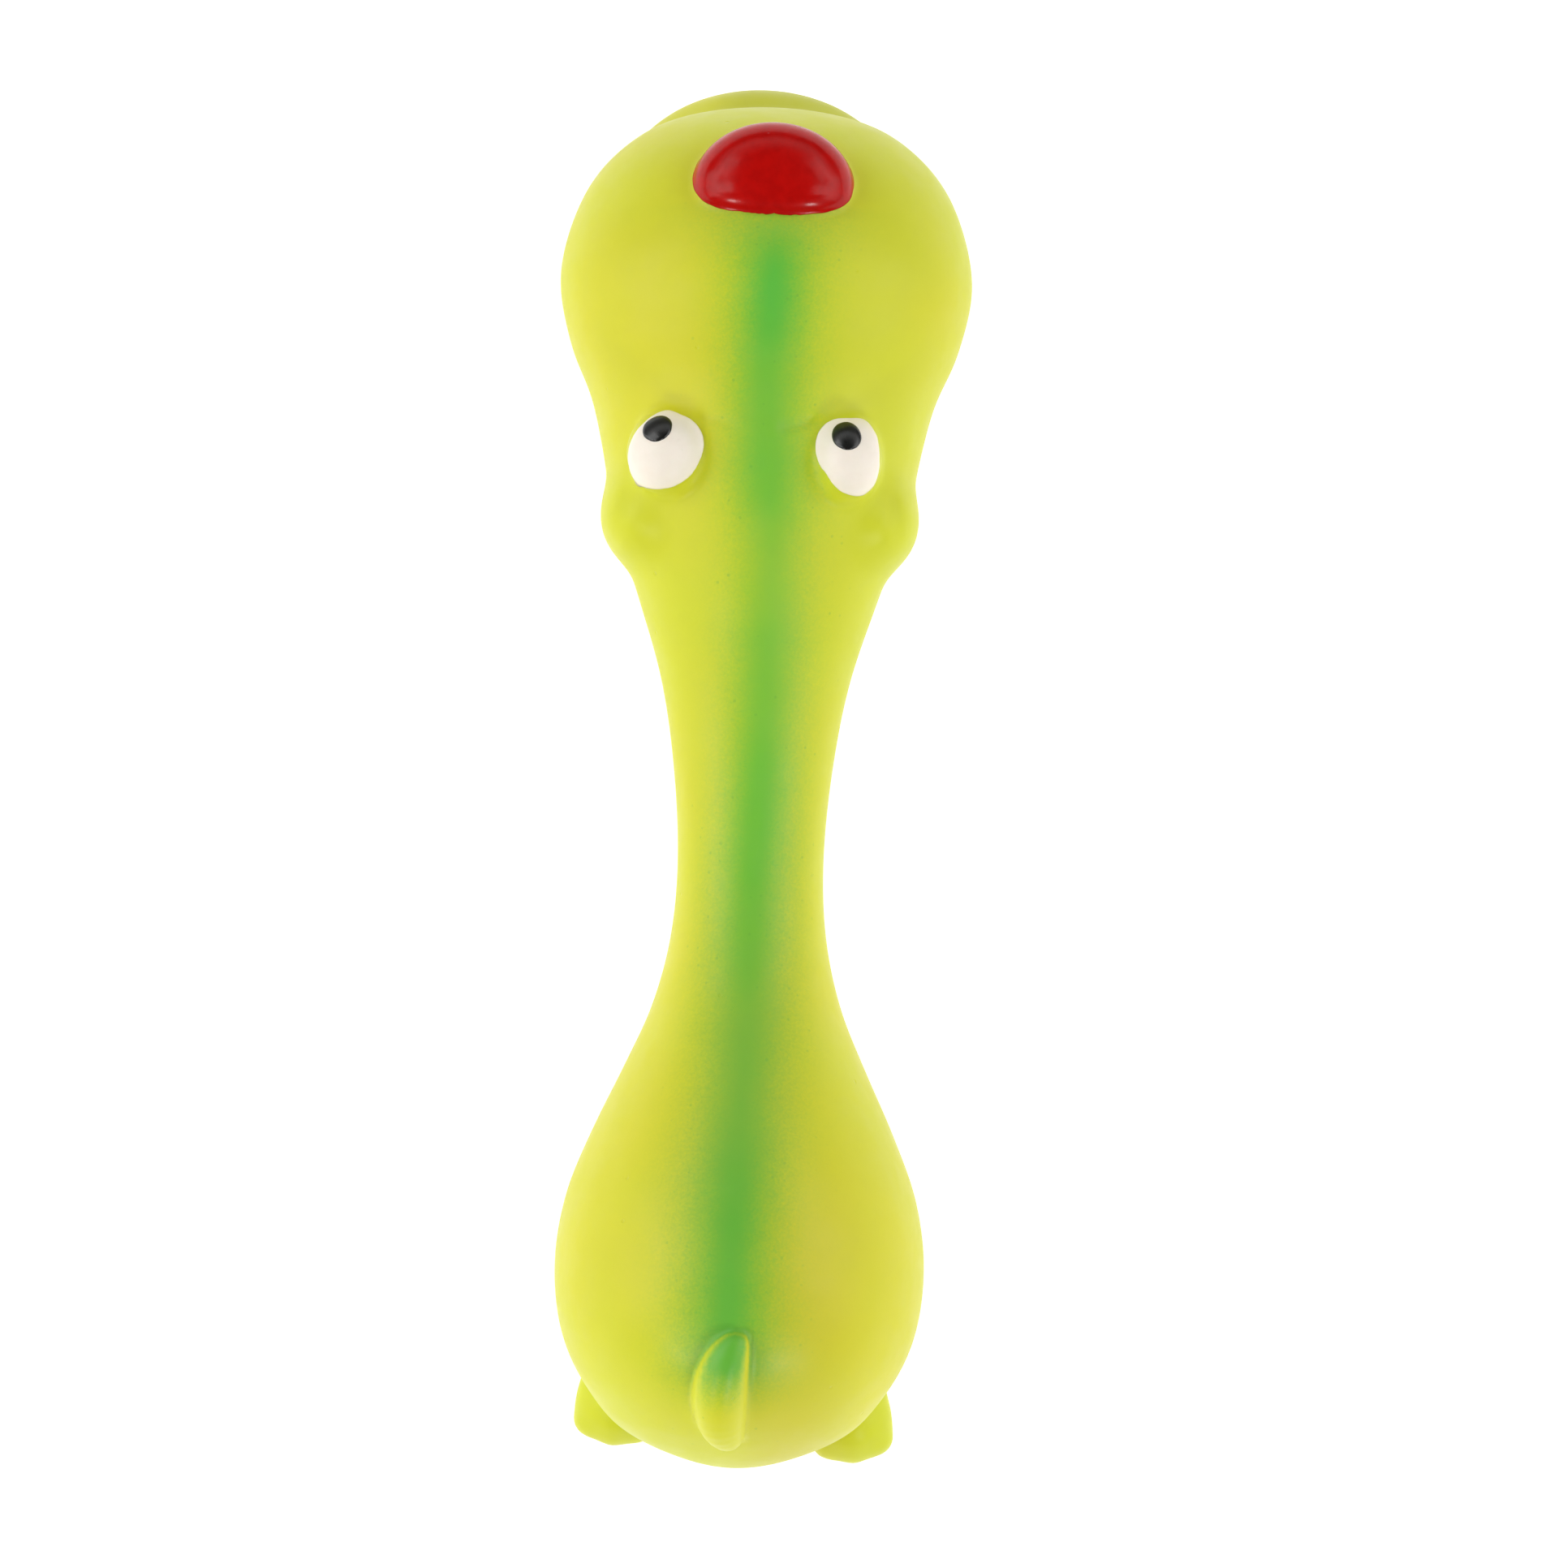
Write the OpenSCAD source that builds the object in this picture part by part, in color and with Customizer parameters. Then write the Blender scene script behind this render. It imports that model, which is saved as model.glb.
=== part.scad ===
// Latex squeak toy in the shape of a long dog lying on its belly.
// The dog faces -Y, +Z is up, and the origin is under the middle of its length, on the floor.

/* [Skin] */
// Length from chin to rump
body_length = 172.4; // [168:0.2:176]
// Width of the muzzle
muzzle_w = 51; // [48:0.2:53]
// Width of the waist
waist_w = 18; // [16:0.5:20]
// Width of the rump
rump_w = 45.2; // [43:0.2:48]
// Height of the back above the floor, at the rump
back_h = 44.6; // [43:0.5:46]
// Thickness of the latex wall
wall = 1.6; // [1.4:0.1:2]

/* [Face] */
// Distance of each eye from the middle of the face
eye_x = 10.95; // [10.2:0.05:11.5]
// Width of the nose
nose_w = 19.6; // [18:0.2:21]
// Thickness of the hand-painted coats
paint_t = 0.3; // [0.2:0.05:0.4]

/* [Squeaker] */
// Place of the squeaker along the body
squeaker_y = 61; // [58:0.5:63]
// Outer radius of the bellows
bellows_r = 12.4; // [11:0.2:13]
// Height of the bellows' folds
bellows_h = 14.4; // [13:0.2:16]
// Number of folds
folds = 3; // [2:1:4]
// Radius of the bore through the whistle barrel
bore_r = 3.6; // [3.2:0.1:3.8]
// Thickness of the reed
reed_t = 0.16; // [0.12:0.02:0.24]

/* [Hidden] */

lime = [0.83, 0.85, 0.24];
red = [0.78, 0.05, 0.06];
far = 200;                     // larger than the toy, for cutting with half spaces
gap = 0.4;                     // room between the filling and the latex

half_l = body_length / 2;
muzzle_r = muzzle_w / 2;
waist_r = waist_w / 2;
rump_r = rump_w / 2;
head_top = back_h - 0.4;
waist_top = back_h - 15;
muzzle_mid = 19.6;               // height of the muzzle's foremost point
rump_mid = 22;                 // height of the rump's rearmost point

// The body's shape at stations along it: [along, half width, top, underside].
stations = [
    [-82.2, 0, muzzle_mid, muzzle_mid],
    [-80.8, 0.425 * muzzle_r, 27, 12.8],
    [-76.6, 0.705 * muzzle_r, 34.6, 8.2],
    [-70, 0.90 * muzzle_r, 40.2, 5],
    [-60.2, muzzle_r, head_top, 3.6],
    [-51.4, 0.94 * muzzle_r, 43.6, 4],
    [-45, 0.835 * muzzle_r, 42, 4.6],
    [-38, 0.768 * muzzle_r, 41.4, 5.2],
    [-30.4, 0.712 * muzzle_r, 40.2, 6.4],
    [-20.6, 0.583 * muzzle_r, 36.8, 8.8],
    [-10.1, 1.29 * waist_r, 32.8, 10.6],
    [0.9, 1.085 * waist_r, 30.4, 11.4],
    [11.9, waist_r, waist_top, 11.4],
    [21.4, 1.065 * waist_r, 30.4, 10.2],
    [29.9, 1.29 * waist_r, 32.8, 7.4],
    [37.4, 0.655 * rump_r, 36.4, 3.8],
    [45.4, 0.818 * rump_r, 40.2, 0.8],
    [53.4, 0.95 * rump_r, 43.2, -0.9],
    [61.9, rump_r, back_h, -1.3],
    [70.4, 0.95 * rump_r, 43.4, -0.5],
    [77.4, 0.79 * rump_r, 39.4, 3.4],
    [82.9, 0.53 * rump_r, 32.4, 10.8],
    [half_l, 0, rump_mid, rump_mid]
];

sides = 32;                    // corners of each of the skin's rings
inner_sides = 24;              // corners of the rings inside
steps = 2;                     // rings from one station to the next

// Catmull-Rom curve from b to c.
function curve(a, b, c, d, t) =
    0.5 * (2 * b + (c - a) * t + (2 * a - 5 * b + 4 * c - d) * t ^ 2 + (3 * b - a - 3 * c + d) * t ^ 3);

// The station mirrored through the body's axis, which rounds the ends off.
function mirrored(s) = [s[0], -s[1], s[3], s[2]];

function station(list, i) =
    i < 0 ? mirrored(list[1]) :
    i >= len(list) ? mirrored(list[len(list) - 2]) :
    list[i];

function between(list, i, t) =
    curve(station(list, i - 1), list[i], list[i + 1], station(list, i + 2), t);

// All rings of the body, taken in by an even thickness.
function rings(list, inset = 0) =
    let (samples = [for (i = [0 : len(list) - 2], k = [0 : steps - 1]) between(list, i, k / steps)])
    [for (s = concat(samples, [list[len(list) - 1]]))
        [s[0] * (1 - inset / half_l), max(s[1] - inset, 0), s[2] - inset, s[3] + inset]];

function middle(s) = [0, s[0], (s[2] + s[3]) / 2];

function ring_points(s, n) =
    [for (k = [0 : n - 1]) middle(s) + [s[1] * cos(360 * k / n), 0, (s[2] - s[3]) / 2 * sin(360 * k / n)]];

// A closed solid through the rings, with a point at the middle of each end.
module loft(ends, list, n) {
    count = len(list);
    first = count * n;
    points = concat([for (s = list) each ring_points(s, n)], [middle(ends[0]), middle(ends[1])]);
    walls = [
        for (j = [0 : count - 2], k = [0 : n - 1])
            let (a = j * n + k, b = j * n + (k + 1) % n)
            each [[a, b, b + n], [a, b + n, a + n]]
    ];
    start = [for (k = [0 : n - 1]) [first, (k + 1) % n, k]];
    finish = [for (k = [0 : n - 1]) [first + 1, first - n + k, first - n + (k + 1) % n]];
    polyhedron(points, concat(walls, start, finish), convexity = 6);
}

// The whole body, taken in by an inset.
module body_form(inset, n) {
    list = rings(stations, inset);
    last = len(list) - 1;
    loft([list[0], list[last]], [for (i = [1 : last - 1]) list[i]], n);
}

// The stretch of the body from one ring to another, with flat ends.
module body_stretch(inset, from, to, n) {
    list = rings(stations, inset);
    part = [for (i = [from : to]) list[i]];
    loft([part[0], part[len(part) - 1]], part, n);
}

module ellipsoid(place, radii, fn = 24) {
    translate(place) scale(radii) sphere(r = 1, $fn = fn);
}

module mirror_copy() {
    children();
    mirror([1, 0, 0]) children();
}

// ---- head ----
chin_size = [18.6, 15, 9];
chin_at = [1, -half_l + chin_size[1], 12.5];
nose_at = [-0.6, -68.4, 37.4];
nose_size = [nose_w / 2, 8.2, 7.1];
nose_back = 5;                 // half length of the dome's rear half
eye_shift = 0.5;               // both eyes lie a little to the dog's left
eye_y = -36;
eye_z = 37.6;
left_eye = [4.8, 5.1, 5.4];
right_eye = [4.2, 5.1, 5.4];
ear_at = [14.1, -29.6, 27];
ear_size = [5.3, 5.8, 7.8];

// A dome, long towards the front and short towards the rear, grown by a thickness.
module nose_form(extra = 0) {
    grown = nose_size + [extra, extra, extra];
    hull() {
        ellipsoid(nose_at, [grown[0], nose_back + extra, grown[2]], 28);
        intersection() {
            ellipsoid(nose_at, grown, 28);
            translate([-far / 2, nose_at[1] - far, 0]) cube([far, far, far]);
        }
    }
}

module ear() {
    translate(ear_at) rotate([0, 0, -6]) scale(ear_size) sphere(r = 1, $fn = 20);
}

// ---- paws: each is a low pad with three toes, and lies on the floor ----
paw_w = 9.4;
paw_l = 19;                    // from the heel to the tip of the middle toe
toe_r = 2.2;
toe_gap = 2.9;

module toe(x, reach) {
    hull() {
        translate([x, reach - toe_r, 2.6]) sphere(r = toe_r, $fn = 14);
        translate([x * 0.8, reach - 8, 4]) sphere(r = toe_r, $fn = 14);
    }
}

module paw() {
    hull() {
        translate([0, paw_l - 5, 3.6]) scale([paw_w / 2, 4, 3.8]) sphere(r = 1, $fn = 20);
        translate([0, paw_l - 16, 5.5]) scale([0.44 * paw_w, 4, 5]) sphere(r = 1, $fn = 20);
    }
    toe(0, paw_l);
    toe(-toe_gap, paw_l - 0.8);
    toe(toe_gap, paw_l - 0.7);
}

left_heel = [13.4, 65.3, 0];
right_heel = [12.9, 67, 0];    // mirrored
toes_out = 7;                  // degrees

module hind_paws() {
    translate(left_heel) rotate([0, 0, -toes_out]) paw();
    mirror([1, 0, 0]) translate(right_heel) rotate([0, 0, -toes_out]) paw();
}

module front_paw() {
    translate([12.5, -63.5, 0]) rotate([0, 0, 180 + 4]) mirror([1, 0, 0]) paw();
}

// ---- tail: a curved horn that lies up the rump, thick at the root and narrow at the tip ----
tail = [
    // place, radius
    [[0.9, 81.7, 34.4], 2.1],
    [[1.6, 79.8, 36.9], 2.95],
    [[1.85, 77.4, 39.3], 3.15],
    [[1.6, 74.8, 41.3], 3.05],
    [[1, 72.6, 42.7], 2.5],
    [[0.3, 71.2, 43.5], 1.7],
    [[-0.35, 70.6, 43.8], 1]
];

module tail_form() {
    for (i = [0 : len(tail) - 2])
        hull() for (p = [tail[i], tail[i + 1]])
            translate(p[0]) sphere(r = p[1], $fn = 16);
}

// ---- skin ----
flange_r = 6.5;                // whistle's outer flange
flange_t = 1;
recess = 0.3;                  // how far the flange sits up inside the belly
neck_r = 4.6;                  // barrel where the latex grips it
collar_r = 9;
collar_h = 4.4;

module above_floor(z = 0) {
    intersection() {
        children();
        translate([-far / 2, -far / 2, z]) cube([far, far, far]);
    }
}

module eyeball(side, extra = 0) {
    size = side > 0 ? left_eye : right_eye;
    ellipsoid([side * eye_x + eye_shift, eye_y, eye_z], size + [extra, extra, extra], 24);
}

// The outside of the dog, as a solid.
module dog_form() {
    above_floor() {
        body_form(0, sides);
        ellipsoid(chin_at, chin_size, 28);
        nose_form();
        eyeball(1);
        eyeball(-1);
        mirror_copy() {
            ear();
            front_paw();
        }
        hind_paws();
        tail_form();
    }
}

// The hollow inside it.
module hollow_form() {
    above_floor(wall) {
        body_form(wall, inner_sides);
        ellipsoid(chin_at, chin_size - [wall, wall, wall], 20);
    }
}

module at_squeaker(z = 0) {
    translate([0, squeaker_y, z]) children();
}

module latex_skin() {
    color(lime) difference() {
        union() {
            difference() {
                dog_form();
                hollow_form();
            }
            at_squeaker() cylinder(h = collar_h, r = collar_r, $fn = 40);
        }
        at_squeaker(-1) cylinder(h = collar_h + 2, r = neck_r, $fn = 40);
        at_squeaker(-1) cylinder(h = 1 + recess + flange_t, r = flange_r + 0.3, $fn = 40);
    }
}

// ---- painted coats ----
module nose_coat() {
    color(red) difference() {
        nose_form(paint_t);
        dog_form();
    }
}

// The part of a coat on one eye, over an oval patch: [centre, half size], from the eye's middle.
module eye_coat(side, extra, patch) {
    intersection() {
        eyeball(side, extra);
        translate([side * eye_x + eye_shift + patch[0][0], eye_y + patch[0][1], eye_z - 1])
            scale([patch[1][0], patch[1][1], 1]) cylinder(h = 20, r = 1, $fn = 24);
    }
}

left_white = [[0.1, 0], [4.5, 4.7]];
right_white = [[0.1, 0.1], [3.85, 4.75]];
left_pupil = [[1, -2.3], [1.7, 1.6]];
right_pupil = [[0.2, -2.2], [1.7, 1.75]];

module eye_white(side, white) {
    color("white") difference() {
        eye_coat(side, paint_t, white);
        dog_form();
    }
}

module pupil(side, white, dot) {
    color([0.06, 0.06, 0.06]) difference() {
        eye_coat(side, 2 * paint_t, dot);
        eye_coat(side, paint_t, white);
        dog_form();
    }
}

module eye_white_left() { eye_white(1, left_white); }
module eye_white_right() { eye_white(-1, right_white); }
module pupil_left() { pupil(1, left_white, left_pupil); }
module pupil_right() { pupil(-1, right_white, right_pupil); }

// ---- polyester filling, in three wads ----
muzzle_from = 3;               // ring numbers
muzzle_to = 16;
waist_to = 31;
rump_to = 42;
pocket_r = bellows_r + 1.4;

module filling_colour() {
    color([0.95, 0.95, 0.93]) children();
}

module muzzle_filling() {
    filling_colour() body_stretch(wall + gap, muzzle_from, muzzle_to, inner_sides);
}

module waist_filling() {
    filling_colour() translate([0, gap, 0])
        body_stretch(wall + 2 * gap, muzzle_to, waist_to, inner_sides);
}

module rump_filling() {
    filling_colour() difference() {
        translate([0, 2 * gap, 0]) body_stretch(wall + 3 * gap, waist_to, rump_to, inner_sides);
        at_squeaker(-5) cylinder(h = crown_z + crown_h + 1.5 + 5, r = pocket_r);
        translate([-far / 2, -far / 2, -far + wall + gap]) cube([far, far, far]);
    }
}

// ---- whistle: a barrel gripped by the belly's collar, with a beating reed inside ----
barrel_r = 4.8;
barrel_top = 14;
inner_flange_t = 1;
reed_block_z = [3, 12];
reed_tip_z = 4.2;
reed_clamp_z = 9.6;
reed_grip = 0.5;               // length of the reed held in the clamp
reed_w = 2.8;
channel_w = 1.6;
channel_d = 1.3;
fit = 0.02;                    // clearance of the pressed pieces

module whistle_barrel() {
    foot = recess;
    color("ivory") at_squeaker() difference() {
        union() {
            translate([0, 0, foot]) cylinder(h = barrel_top - foot, r = neck_r - 0.02);
            translate([0, 0, foot]) cylinder(h = flange_t, r = flange_r);
            translate([0, 0, collar_h]) cylinder(h = inner_flange_t, r = flange_r - 0.3);
            translate([0, 0, collar_h]) cylinder(h = barrel_top - collar_h, r = barrel_r);
        }
        translate([0, 0, -1]) cylinder(h = barrel_top + 2, r = bore_r);
    }
}

module whistle_cap() {
    color("white") at_squeaker(recess) difference() {
        cylinder(h = 1.2, r = bore_r - fit);
        translate([0, 0, -1]) cylinder(h = 4, r = 0.7);
        for (a = [0 : 60 : 300])
            rotate([0, 0, a]) translate([2.2, 0, -1]) cylinder(h = 4, r = 0.5);
    }
}

// Half of the bore, on one side of the reed.
module half_plug(z0, z1, side, inset = 0) {
    r = bore_r - fit;
    intersection() {
        translate([0, 0, z0]) cylinder(h = z1 - z0, r = r);
        translate([-far / 2, side > 0 ? inset : -far - inset, z0 - 1]) cube([far, far, z1 - z0 + 2]);
    }
}

module reed_block() {
    color("white") at_squeaker() difference() {
        half_plug(reed_block_z[0], reed_block_z[1], -1);
        translate([-channel_w / 2, -channel_d, reed_block_z[0] - 1])
            cube([channel_w, channel_d + 1, reed_clamp_z - reed_block_z[0]]);
    }
}

module reed_wedge() {
    color("white") at_squeaker() half_plug(reed_clamp_z, reed_block_z[1], 1, reed_t + fit);
}

module reed() {
    color([0.75, 0.82, 0.85]) at_squeaker()
        translate([-reed_w / 2, fit / 2, reed_tip_z]) cube([reed_w, reed_t, reed_clamp_z + reed_grip - reed_tip_z]);
}

// ---- bellows ----
bellows_wall = 0.6;
bellows_z = 12.6;              // underside of the folds
crown_z = bellows_z + bellows_h;
crown_h = 4.4;
fold_in = 3.4;                 // depth of each fold
neck_z = collar_h + inner_flange_t + 0.3;

module squeaker_bellows() {
    fold_h = bellows_h / folds;
    inner_r = bellows_r - fold_in;
    outside = [for (i = [0 : folds - 1]) each [
        [inner_r, bellows_z + i * fold_h],
        [bellows_r, bellows_z + (i + 0.5) * fold_h]
    ]];
    profile = concat(
        [[barrel_r + fit, neck_z], [barrel_r + 0.9, neck_z], [barrel_r + 0.9, bellows_z]],
        outside,
        [[inner_r, crown_z], [inner_r - bellows_wall, crown_z]],
        [for (i = [len(outside) - 1 : -1 : 1]) outside[i] - [bellows_wall, 0]],
        [[inner_r - bellows_wall, bellows_z + bellows_wall], [barrel_r + fit, bellows_z + bellows_wall]]
    );
    color([0.93, 0.93, 0.9]) at_squeaker() rotate_extrude($fn = 72) polygon(profile);
}

module bellows_crown() {
    rim_r = bellows_r - fold_in;
    ball_r = (rim_r ^ 2 + crown_h ^ 2) / (2 * crown_h);
    color([0.93, 0.93, 0.9]) at_squeaker(crown_z) intersection() {
        translate([0, 0, crown_h - ball_r]) difference() {
            sphere(r = ball_r, $fn = 72);
            sphere(r = ball_r - bellows_wall, $fn = 72);
        }
        cylinder(h = crown_h + 1, r = rim_r + 2);
    }
}

latex_skin();
nose_coat();
eye_white_left();
eye_white_right();
pupil_left();
pupil_right();
muzzle_filling();
waist_filling();
rump_filling();
whistle_barrel();
whistle_cap();
reed_block();
reed_wedge();
reed();
squeaker_bellows();
bellows_crown();
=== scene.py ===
import math

import bpy
import numpy as np
from mathutils import Matrix, Vector


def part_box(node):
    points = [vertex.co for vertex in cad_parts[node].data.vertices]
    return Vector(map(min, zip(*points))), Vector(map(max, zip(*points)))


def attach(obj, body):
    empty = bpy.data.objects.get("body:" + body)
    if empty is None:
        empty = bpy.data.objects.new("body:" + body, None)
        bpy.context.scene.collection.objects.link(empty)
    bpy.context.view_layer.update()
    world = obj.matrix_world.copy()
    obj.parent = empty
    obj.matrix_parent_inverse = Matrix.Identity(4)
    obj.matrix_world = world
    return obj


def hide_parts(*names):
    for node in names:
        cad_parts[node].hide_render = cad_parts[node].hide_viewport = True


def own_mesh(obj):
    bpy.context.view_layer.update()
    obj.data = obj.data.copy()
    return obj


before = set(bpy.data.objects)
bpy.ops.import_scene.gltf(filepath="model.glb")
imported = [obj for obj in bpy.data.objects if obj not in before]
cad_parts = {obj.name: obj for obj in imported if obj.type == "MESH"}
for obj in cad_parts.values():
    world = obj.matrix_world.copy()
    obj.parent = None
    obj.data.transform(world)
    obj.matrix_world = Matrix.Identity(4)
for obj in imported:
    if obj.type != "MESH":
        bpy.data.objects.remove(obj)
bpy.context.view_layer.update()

MM = 0.001

# ---------------------------------------------------------------- the dog's shape, in mm
# Every shape is a signed distance: negative inside, zero on the surface. The dog faces -Y.

half_l = 86.2
muzzle_r, waist_r, rump_r = 25.5, 9.0, 22.6
back_h = 44.6

# Along, half width, top and underside, as in the CAD model.
stations = np.array([
    (-82.2, 0.0, 19.6, 19.6),
    (-80.8, 0.425 * muzzle_r, 27.0, 12.8),
    (-76.6, 0.705 * muzzle_r, 34.6, 8.2),
    (-70.0, 0.90 * muzzle_r, 40.2, 5.0),
    (-60.2, muzzle_r, back_h - 0.4, 3.6),
    (-51.4, 0.94 * muzzle_r, 43.6, 4.0),
    (-45.0, 0.835 * muzzle_r, 42.0, 4.6),
    (-38.0, 0.768 * muzzle_r, 41.4, 5.2),
    (-30.4, 0.712 * muzzle_r, 40.2, 6.4),
    (-20.6, 0.583 * muzzle_r, 36.8, 8.8),
    (-10.1, 1.29 * waist_r, 32.8, 10.6),
    (0.9, 1.085 * waist_r, 30.4, 11.4),
    (11.9, waist_r, back_h - 15, 11.4),
    (21.4, 1.065 * waist_r, 30.4, 10.2),
    (29.9, 1.29 * waist_r, 32.8, 7.4),
    (37.4, 0.655 * rump_r, 36.4, 3.8),
    (45.4, 0.818 * rump_r, 40.2, 0.8),
    (53.4, 0.95 * rump_r, 43.2, -0.9),
    (61.9, rump_r, back_h, -1.3),
    (70.4, 0.95 * rump_r, 43.4, -0.5),
    (77.4, 0.79 * rump_r, 39.4, 3.4),
    (82.9, 0.53 * rump_r, 32.4, 10.8),
    (half_l, 0.0, 22.0, 22.0),
])


def smooth_curve(a, b, c, d, t):
    """The curve from b, where t is 0, to c, where t is 1; a and d are the points before and after."""
    return 0.5 * (2 * b + (c - a) * t + (2 * a - 5 * b + 4 * c - d) * t**2 + (3 * b - a - 3 * c + d) * t**3)


def body_profile():
    """Smooth tables along Y: place, half height squared, its slope, width over height, and middle height."""
    per_span = 48       # points from one station to the next
    tip = 0.6           # the last stretch at each end, which the tables carry on beyond it
    spare = 12          # how far the tables go on beyond the ends
    flip = np.array([1.0, -1.0, 1.0, 1.0])
    first, last = stations[1] * flip, stations[-2] * flip
    first[[2, 3]], last[[2, 3]] = first[[3, 2]], last[[3, 2]]
    p = np.vstack([first, stations, last])
    t = np.linspace(0, 1, per_span, endpoint=False)[:, None]
    spans = [smooth_curve(a, b, c, d, t) for a, b, c, d in zip(p[:-3], p[1:-2], p[2:-1], p[3:])]
    s = np.vstack(spans + [stations[-1:]])
    high = (s[:, 2] - s[:, 3]) / 2
    mid = (s[:, 2] + s[:, 3]) / 2
    ratio = s[:, 1] / np.maximum(high, 1e-6)
    ratio[0], ratio[-1] = ratio[1], ratio[-2]
    y = np.linspace(stations[0, 0] - spare, half_l + spare, 2400)
    q = np.interp(y, s[:, 0], high**2)
    front, rear = s[0, 0], s[-1, 0]
    q[y < front] = (y[y < front] - front) * np.interp(front + tip, y, q) / tip
    q[y > rear] = (rear - y[y > rear]) * np.interp(rear - tip, y, q) / tip
    tables = [q, np.interp(y, s[:, 0], ratio), np.interp(y, s[:, 0], mid)]
    blur, reach = 1.1, 40       # a blur of 1.1 mm, worked out over 40 table rows to each side
    kernel = np.exp(-0.5 * (np.arange(-reach, reach + 1) * (y[1] - y[0]) / blur) ** 2)
    kernel /= kernel.sum()
    padded = [np.pad(v, reach, mode="reflect", reflect_type="odd") for v in tables]
    q, ratio, mid = (np.convolve(v, kernel, mode="valid") for v in padded)
    return y, q, np.gradient(q, y), ratio, mid


PROFILE = body_profile()


def body(p):
    """Muzzle, waist and rump: ellipses across Y whose size and height follow the profile."""
    y, q, dq, ratio, mid = PROFILE
    wide = np.interp(p[:, 1], y, ratio)
    x, z = p[:, 0] / wide, p[:, 2] - np.interp(p[:, 1], y, mid)
    f = x * x + z * z - np.interp(p[:, 1], y, q)
    slope = np.sqrt((2 * x / wide) ** 2 + (2 * z) ** 2 + np.interp(p[:, 1], y, dq) ** 2)
    least_slope = 6.0           # keeps the distance finite on the middle line
    return f / np.maximum(slope, least_slope)


def ellipsoid(p, centre, radii, turn=None):
    v = p - np.array(centre)
    if turn is not None:
        v = v @ turn
    r = np.array(radii)
    a = np.linalg.norm(v / r, axis=1)
    b = np.linalg.norm(v / r**2, axis=1)
    return a * (a - 1) / np.maximum(b, 1e-9)


def capsule(p, a, b, ra, rb):
    """A round rod from a to b whose radius goes from ra to rb."""
    a, b = np.array(a), np.array(b)
    along = np.clip((p - a) @ (b - a) / ((b - a) @ (b - a)), 0, 1)
    return np.linalg.norm(p - a - along[:, None] * (b - a), axis=1) - (ra + (rb - ra) * along)


def join(a, b, k):
    """Union with a fillet about k wide."""
    h = np.maximum(k - np.abs(a - b), 0) / k
    return np.minimum(a, b) - h * h * k / 4


def cut(a, b, k):
    """What a and b share, with a rounded edge."""
    return -join(-a, -b, k)


def turned(angle):
    """Columns are the axes turned about Z by an angle in degrees."""
    a = math.radians(angle)
    return np.array([[math.cos(a), -math.sin(a), 0], [math.sin(a), math.cos(a), 0], [0, 0, 1]])


def rise(v, low, high):
    """0 below low and 1 above high, smooth between."""
    t = np.clip((v - low) / (high - low), 0, 1)
    return t * t * (3 - 2 * t)


CHIN, CHIN_SIZE = (1.0, -half_l + 15, 12.5), (18.6, 15, 9)
# Half the nose's width, length to the front, and height; NOSE_BACK is its length to the rear.
NOSE, NOSE_SIZE, NOSE_BACK = (-0.6, -68.4, 37.4), (9.6, 8.0, 7.1), 4.7
EAR, EAR_SIZE, EAR_TURN = (14.1, -29.6, 27.0), (5.3, 5.8, 7.8), -6
# The eyes by side: 1 is the dog's left, -1 its right.
EYES = {1: (11.45, -36.1, 37.6), -1: (-10.45, -35.8, 37.6)}
EYE_SIZE = {1: (4.8, 5.1, 5.4), -1: (4.2, 5.1, 5.4)}
# The tail's middle line and radius, from its low end up to its high one, which bends onto the back.
TAIL = np.array([
    (0.9, 81.7, 34.4, 2.1),
    (1.6, 79.8, 36.9, 2.95),
    (1.85, 77.4, 39.3, 3.15),
    (1.6, 74.8, 41.3, 3.05),
    (1.0, 72.6, 42.7, 2.5),
    (0.3, 71.2, 43.5, 1.7),
    (-0.35, 70.6, 43.8, 1.0),
])
TAIL_STEPS = np.linspace(0, len(TAIL) - 1, 19)
TAIL_LINE = np.stack([np.polyval(np.polyfit(np.arange(len(TAIL)), v, 4), TAIL_STEPS) for v in TAIL.T], 1)


def near(p, centre, reach, shape):
    """A shape that is only worked out within reach of its centre; further off it counts as far away."""
    v = p - np.array(centre)
    here = (v * v).sum(axis=1) < reach**2
    d = np.full(len(p), 99.0)
    if here.any():
        d[here] = shape(p[here])
    return d


def nose(p):
    """A dome with a round front and a short, squarer rear."""
    dome, mean_radius = 2.7, 7.2
    v = np.abs(p - np.array(NOSE))
    rear = p[:, 1] > NOSE[1]
    power = np.where(rear, 2.5, 2.0)
    length = np.where(rear, NOSE_BACK, NOSE_SIZE[1])
    flat = ((v[:, 0] / NOSE_SIZE[0]) ** power + (v[:, 1] / length) ** power) ** (1 / power)
    return mean_radius * ((flat**dome + (v[:, 2] / NOSE_SIZE[2]) ** dome) ** (1 / dome) - 1)


def paw(p, foot, angle):
    """A low pad with three toes that point along +Y of its own frame."""
    v = (p - np.array(foot)) @ turned(angle)
    f = join(ellipsoid(v, (0, 14.0, 3.6), (4.5, 4.2, 3.8)), ellipsoid(v, (0, 3, 6.2), (4.0, 5.5, 6)), 4)
    f = join(f, capsule(v, (0, 3, 5), (0, 12.5, 3.8), 3.6, 3.9), 2)
    for x, reach in ((0, 19), (-2.9, 18.2), (2.9, 18.3)):
        f = join(f, capsule(v, (0.8 * x, reach - 8, 3.8), (x, reach - 2.2, 2.5), 2.3, 2.2), 1.6)
    return f


def ear(p):
    return ellipsoid(p, EAR, EAR_SIZE, turned(EAR_TURN))


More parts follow.
